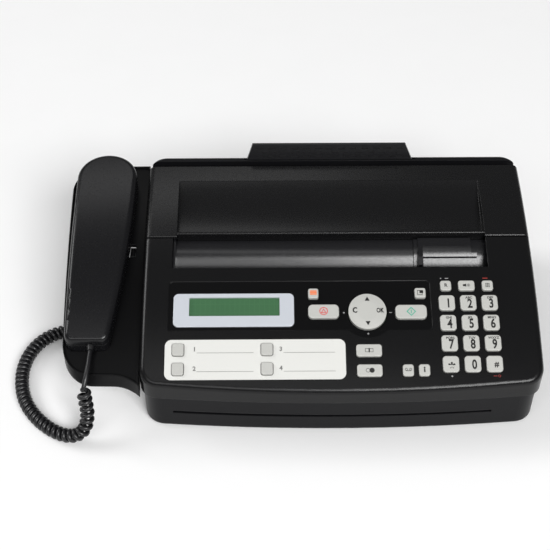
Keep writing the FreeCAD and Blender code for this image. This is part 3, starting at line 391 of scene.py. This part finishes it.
def draw(form, part):
    """Draws one figure or word into the bmesh, flat, in mm."""
    kind, what, size, at, stretch = part[:5]
    move = Matrix.Translation((*at, 0)) @ Matrix.Diagonal((*stretch, 1, 1))
    if kind == "words":
        font = bpy.data.curves.new("legend", "FONT")
        font.body = what
        font.size = size
        font.offset = BOLD * size
        font.align_x = "CENTER"
        font.align_y = "CENTER"
        font.resolution_u = 3
        font.fill_mode = "FRONT"
        letter = bpy.data.objects.new("legend", font)
        mesh = bpy.data.meshes.new_from_object(letter)
        mesh.transform(move)
        form.from_mesh(mesh)
        bpy.data.objects.remove(letter)
        bpy.data.meshes.remove(mesh)
        return
    turned = move @ Matrix.Rotation(part[5], 4, "Z")
    made = bmesh.ops.create_circle(form, cap_ends=True, radius=size, segments=what, matrix=turned)
    if part[6]:
        face = made["verts"][0].link_faces[0]
        bmesh.ops.inset_individual(form, faces=[face], thickness=part[6], use_even_offset=True)
        bmesh.ops.delete(form, geom=[face], context="FACES_ONLY")


def printed(name, body, ink, at, parts):
    """Prints the parts as one piece of thin ink that moves with the body."""
    form = bmesh.new()
    for part in parts:
        draw(form, part)
    bmesh.ops.remove_doubles(form, verts=form.verts, dist=1e-4)
    bmesh.ops.recalc_face_normals(form, faces=form.faces)
    for face in form.faces:
        if face.normal.z < 0:
            face.normal_flip()
    bmesh.ops.solidify(form, geom=form.faces[:], thickness=INK_THICK)
    bmesh.ops.transform(form, matrix=at, verts=form.verts)
    mesh = bpy.data.meshes.new(name)
    form.to_mesh(mesh)
    form.free()
    mesh.materials.append(ink)
    art = bpy.data.objects.new(name, mesh)
    bpy.context.collection.objects.link(art)
    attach(art, body)
    return art


grey_ink = printing_ink("grey_printing_ink", "#7c7c7a")
CARD_PLACE = (-31.1, 23.8)       # x and s of the card's middle
CARD_RISE = 0.06
card_parts = []
for number, number_x, number_s, line_x, line_s in (
        ("1", -73.4, 31.2, (-71.8, -32.3), 28.7), ("2", -73.4, 17.2, (-71.8, -32.3), 15.2),
        ("3", -13.2, 31.2, (-11.4, 24.6), 28.7), ("4", -13.2, 17.4, (-11.4, 24.6), 15.2)):
    card_parts.append(words(number, 4.3, (number_x - CARD_PLACE[0], number_s - CARD_PLACE[1])))
    middle = 0.5 * (line_x[0] + line_x[1]) - CARD_PLACE[0]
    long = 0.5 * (line_x[1] - line_x[0])
    card_parts.append(figure(4, math.sqrt(2), (middle, line_s - CARD_PLACE[1]), (long, 0.13), 45))
card_art = printed("label_card_printing", "panel", grey_ink, on_top(*CARD_PLACE, CARD_RISE), card_parts)


# ---- keys --------------------------------------------------------------------------
# Twenty-seven light grey ABS caps, each on its own stem with softly rounded edges. Their
# legends are printed in black, red, green and orange ink.

# ABS from a lightly etched mould: a warm pale grey, matt enough to stay even across a cap.
key_abs = moulded("light_grey_abs", "#bcbcb8", "#b6b6b1", (0.34, 0.44), 0.7, 0.004, IOR=1.53)
# Pad-printed inks lie dead flat and duller than the caps.
black_ink = printing_ink("black_printing_ink", "#101010")
red_ink = printing_ink("red_printing_ink", "#cf3a3a")
green_ink = printing_ink("green_printing_ink", "#23a286")
orange_ink = printing_ink("orange_printing_ink", "#ee7430")
KEY_RISE = 1.8 + 0.05            # the caps' faces over the panel, and a hair for the ink
KEYPAD_PLACE = (104.7, 64.8)     # x and s of the 1 key
KEY_PITCH = 15.17

LETTERS = {
    "2": "ABC", "3": "DEF", "4": "GHI", "5": "JKL", "6": "MNO", "7": "PQRS", "8": "TUV", "9": "WXYZ",
}
DIGIT_KEYS = ["1", "2", "3", "4", "5", "6", "7", "8", "9", "star", "0", "hash"]
for index, sign in enumerate(DIGIT_KEYS):
    x = KEYPAD_PLACE[0] + KEY_PITCH * (index % 3)
    s = KEYPAD_PLACE[1] - KEY_PITCH * (index // 3)
    legend = []
    if sign in LETTERS:
        legend.append(words(LETTERS[sign], 2.5, (0.5, 3.6), (1.0, 0.95)))
    if sign == "star":
        legend.append(words("*", 11, (0.4, -3.6)))
    elif sign == "hash":
        legend.append(words("#", 5.2, (1.2, -0.6)))
    else:
        legend.append(words(sign, 9.4, (1.0, -1.2 if sign in LETTERS else -0.8), (0.74, 1.0)))
    art = printed("key_%s_legend" % sign, "key_" + sign, black_ink, on_top(x, s, KEY_RISE), legend)
    finish_node("key_" + sign, key_abs)


def bar(width, height, at=(0, 0)):
    """Filled rectangle."""
    return figure(4, math.sqrt(2), at, (0.5 * width, 0.5 * height), 45)


FUNCTION_KEYS = [
    ("stop_key", 17.2, 58.7, red_ink, [
        figure(24, 3.0, line=0.55), figure(3, 2.3, (0, -0.3), line=0.5)]),
    ("start_key", 79.0, 58.1, green_ink, [figure(4, 3.4, line=0.6), bar(0.6, 2.6)]),
    ("resolution_key", 10.2, 72.6, orange_ink, [bar(4.8, 0.9, (0, y)) for y in (1.6, 0.4, -0.8)]),
    ("settings_key", 86.2, 72.6, black_ink, [
        figure(4, 2.6, (-0.3, 0), turn=45, line=0.35), bar(2.6, 2.2, (0.8, 0.7))]),
    ("directory_key", 48.2, 29.5, black_ink, [
        figure(4, 1.9, (-1.5, 0), turn=45, line=0.3), figure(4, 1.9, (1.5, 0), turn=45, line=0.3),
        bar(0.5, 3.2)]),
    ("contrast_key", 48.2, 15.1, black_ink, [
        figure(20, 1.5, (-1.3, 0), line=0.3), figure(20, 1.8, (1.5, 0))]),
    ("message_key", 74.9, 15.1, black_ink, [
        figure(14, 0.95, (-1.5, 0.5), line=0.35), figure(14, 0.95, (1.5, 0.5), line=0.35),
        bar(3.4, 0.4, (0, -0.5))]),
    ("info_key", 86.1, 15.1, black_ink, [
        figure(10, 0.6, (0, 1.7)), bar(0.95, 2.6, (0, -0.3))]),
    ("flash_key", 104.8, 78.2, black_ink, [words("R", 3.6)]),
    ("hands_free_key", 119.6, 78.2, black_ink, [
        bar(1.3, 1.5, (-1.9, 0)), figure(3, 1.5, (-1.0, 0), turn=90),
        figure(16, 1.1, (1.4, 0), line=0.25), figure(10, 0.45, (1.4, 0))]),
    ("redial_key", 134.6, 78.2, black_ink, [
        bar(0.75, 0.75, (x, y)) for x in (-1.1, 0, 1.1) for y in (-1.1, 0, 1.1)]),
]
for name, x, s, ink, legend in FUNCTION_KEYS:
    art = printed(name + "_legend", name, ink, on_top(x, s, KEY_RISE), legend)
    finish_node(name, key_abs)
for number in (1, 2, 3, 4):
    finish_node("memory_key_%d" % number, key_abs)


# ---- navigation disc ---------------------------------------------------------------
# A light grey rocking disc on a gimbal. Arrows point up and down, and the left and right edges
# cancel and confirm.
finish_node("nav_disc", key_abs)
DISC_PLACE = (48.2, 58.6)
DISC_RISE = 2.25                 # of the ink, between the dome's rim and its crown
disc_art = printed("nav_disc_legend", "nav_disc", black_ink, on_top(*DISC_PLACE, DISC_RISE), [
    figure(3, 2.0, (0, 8.7)), figure(3, 2.0, (0, -8.9), turn=180),
    words("C", 5.6, (-8.9, 0.4), (0.85, 1)), words("OK", 4.8, (8.8, 0.2), (0.72, 1))])


# ---- printed marks on the panel ----------------------------------------------------
# Small marks beside the keys, screen-printed straight on the black panel in pale grey and in
# dark red for second functions.
pale_ink = printing_ink("pale_printing_ink", "#8e8e8e")
dark_red_ink = printing_ink("dark_red_printing_ink", "#8a2a24")
PANEL_RISE = 0.05
STRIP_RISE = -0.5                # the strip's floor lies 0.6 mm below the panel
MARKS = [
    ("flash", 104.4, 84.6, PANEL_RISE, pale_ink, [
        figure(8, 0.5, (-2.6, 0)), bar(2.4, 0.7, (1.6, 0))]),
    ("redial", 133.6, 84.6, PANEL_RISE, dark_red_ink, [bar(3.6, 0.8)]),
    ("disc_back", 48.2, 75.0, STRIP_RISE, orange_ink, [
        figure(3, 0.9), bar(1.4, 0.4, (2.0, 0))]),
    ("disc_left", 31.6, 58.3, STRIP_RISE, pale_ink, [figure(8, 0.65)]),
    ("disc_right", 64.6, 58.3, STRIP_RISE, pale_ink, [bar(1.8, 0.5)]),
    ("disc_front", 48.2, 42.2, PANEL_RISE, pale_ink, [figure(4, 0.8)]),
    ("start", 79.0, 49.6, STRIP_RISE, dark_red_ink, [bar(2.8, 0.8)]),
    ("star", 105.2, 11.0, PANEL_RISE, pale_ink, [figure(4, 0.8)]),
    ("hash", 137.4, 11.0, PANEL_RISE, dark_red_ink, [
        bar(2.6, 0.4, (-2.2, 0)), figure(8, 1.0, (0.6, 0), line=0.3)]),
]
for name, x, s, rise, ink, parts in MARKS:
    art = printed("panel_mark_" + name, "panel", ink, on_top(x, s, rise), parts)


# ---- rear cover and paper path -----------------------------------------------------
# The hinged cover has a document tray pressed into it. Under its rolled lip the documents run
# down a polished chute, along a sliding fence, and blank paper stands in the slot behind.

# ABS from the same kind of mould as the panel: satin black with wide soft glows.
cover_abs = moulded("satin_black_cover_abs", "#0f0f10", "#131314", (0.24, 0.29), 1.3, 0.0004, edge=0.8,
                    IOR=1.53, Specular_IOR_Level=0.3)
finish_node("rear_cover", cover_abs)

# Moulded ABS flap pierced with rows of slots: a shade greyer and duller than the cover.
support_abs = moulded("perforated_black_abs", "#1c1c1e", "#212123", (0.3, 0.36), 0.9, 0.002, IOR=1.53)
finish_node("paper_support", support_abs)

# ABS from a polished mould, so that paper slides on it: its curve mirrors the lamps as a band.
chute_abs = moulded("polished_black_abs", "#121214", "#161619", (0.20, 0.27), 1.4, 0.003, IOR=1.55)
finish_node("document_chute", chute_abs)
finish_node("document_guide", chute_abs)


# ---- handset -----------------------------------------------------------------------
# Two black ABS shells joined along the sides, with a smooth satin back. It lies face down in a
# cradle moulded with the casing, over a sprung hook switch.

# ABS from a fine satin mould: an even black that greys gently over the round back.
handset_abs = moulded("satin_black_handset_abs", "#0f0f11", "#131315", (0.23, 0.28), 1.3, 0.0006, edge=0.8,
                      IOR=1.53, Specular_IOR_Level=0.3)
finish_node("handset_top_shell", handset_abs)
finish_node("handset_bottom_shell", handset_abs)

# The cradle and hook switch are painted darker than the casing they are moulded with. This is painted
# shade for the handset's shadow over the recess: nearly pure black, with a glint along the rim.
cradle_painted_shade_abs = moulded("satin_black_cradle_abs_painted_shade", "#060607", "#080809", (0.3, 0.36), 0.9, 0.002, edge=1.2,
                     IOR=1.53, Specular_IOR_Level=0.12)
finish_node("handset_cradle", cradle_painted_shade_abs)
finish_node("hook_switch", cradle_painted_shade_abs)


# ---- rollers and drive -------------------------------------------------------------
# The scan and platen rollers have ground rubber sleeves on steel shafts and acetal gears, turned
# by a pinion on the stepping motor. The ribbon runs between two spools.

# Ground silicone rubber: dark grey and dead matt.
roller_rubber = moulded("ground_roller_rubber", "#232324", "#2b2b2c", (0.6, 0.75), 0.4, 0.01, IOR=1.5)
finish_node("scan_roller", roller_rubber)
finish_node("platen_roller", roller_rubber)

# Acetal: milky off-white with a waxy gloss.
acetal = moulded("natural_acetal", "#e6e3d8", "#dedbcf", (0.3, 0.4), 0.8, 0.003, IOR=1.48)
finish_node("motor_pinion", acetal)
finish_node("nav_pivot", acetal)

# Wax-coated polyester film wound on its core: shiny black.
ribbon_film = moulded("thermal_transfer_film", "#161618", "#202024", (0.15, 0.25), 0.6, 0.006, IOR=1.6)
finish_node("ribbon_takeup_spool", ribbon_film)
finish_node("ribbon_supply_spool", ribbon_film)


# ---- scanner, print head and boards ------------------------------------------------
# The contact image sensor is a black bar, the thermal head an aluminium extrusion, and the
# boards are glass-epoxy under green solder mask. The speaker sits behind the keypad.

# Extruded aluminium: pale, with long fine draw lines that stretch its highlights.
head_aluminium = metal("extruded_aluminium", "#c9cbcf", "#b9bcc1", (0.28, 0.4), 0.4, 0.004, 0.05)
finish_node("thermal_head", head_aluminium)

# Glass-filled nylon: slightly greyed matt black.
sensor_black = moulded("glass_filled_nylon", "#1c1c1f", "#242428", (0.5, 0.6), 0.6, 0.01, IOR=1.53)
finish_node("scanner_bar", sensor_black)
finish_node("speaker", sensor_black)

# Solder mask over copper and glass cloth: deep glossy green.
solder_mask = moulded("green_solder_mask", "#1f5a2e", "#276a38", (0.18, 0.3), 2.5, 0.01, IOR=1.55)
finish_node("main_board", solder_mask)
finish_node("keypad_board", solder_mask)


# ---- floor and light ---------------------------------------------------------------
# A plain white table. Two broad lamps from the front and one from the left light it, and two
# narrow ones behind and above lay even reflections on the black casing.
FLOOR_HALF = 4.0
floor_form = bmesh.new()
bmesh.ops.create_grid(floor_form, x_segments=1, y_segments=1, size=FLOOR_HALF)
floor_mesh = bpy.data.meshes.new("floor")
floor_form.to_mesh(floor_mesh)
floor_form.free()
# Matt white laminate: white enough to lose its own edges in the light.
floor_white = moulded("matt_white_table", "#fafafa", "#f8f8f8", (0.8, 0.9), 3.0, 0.001, IOR=1.4)
floor_mesh.materials.append(floor_white)
floor = bpy.data.objects.new("floor", floor_mesh)
bpy.context.collection.objects.link(floor)


def soft_lamp(name, place, target, size, power):
    """Rectangular soft lamp that faces the target."""
    data = bpy.data.lights.new(name, "AREA")
    data.shape = "RECTANGLE"
    data.size, data.size_y = size
    data.energy = power
    lamp = bpy.data.objects.new(name, data)
    turn = (Vector(target) - Vector(place)).to_track_quat("-Z", "Y").to_matrix().to_4x4()
    lamp.matrix_world = Matrix.Translation(place) @ turn
    bpy.context.collection.objects.link(lamp)


soft_lamp("front_lamp", (1.6, -3.6, 3.4), (0, 0, 0), (2.4, 2.0), 215)
soft_lamp("front_left_lamp", (-1.6, -3.6, 3.4), (0, 0, 0), (3.2, 2.0), 50)
soft_lamp("left_lamp", (-4.4, 1.3, 3.4), (0, 0, 0), (2.6, 2.4), 110)
soft_lamp("back_lamp", (-0.5, 1.1, 1.9), (0, 0, 0.05), (1.5, 0.4), 3.2)
soft_lamp("top_lamp", (-0.25, -0.55, 2.15), (0, 0, 0.05), (1.5, 0.4), 2.2)
world = bpy.data.worlds.new("studio")
world.use_nodes = True
room_light = world.node_tree.nodes["Background"]
room_light.inputs["Color"].default_value = (1, 1, 1, 1)
room_light.inputs["Strength"].default_value = 0.16
bpy.context.scene.world = world
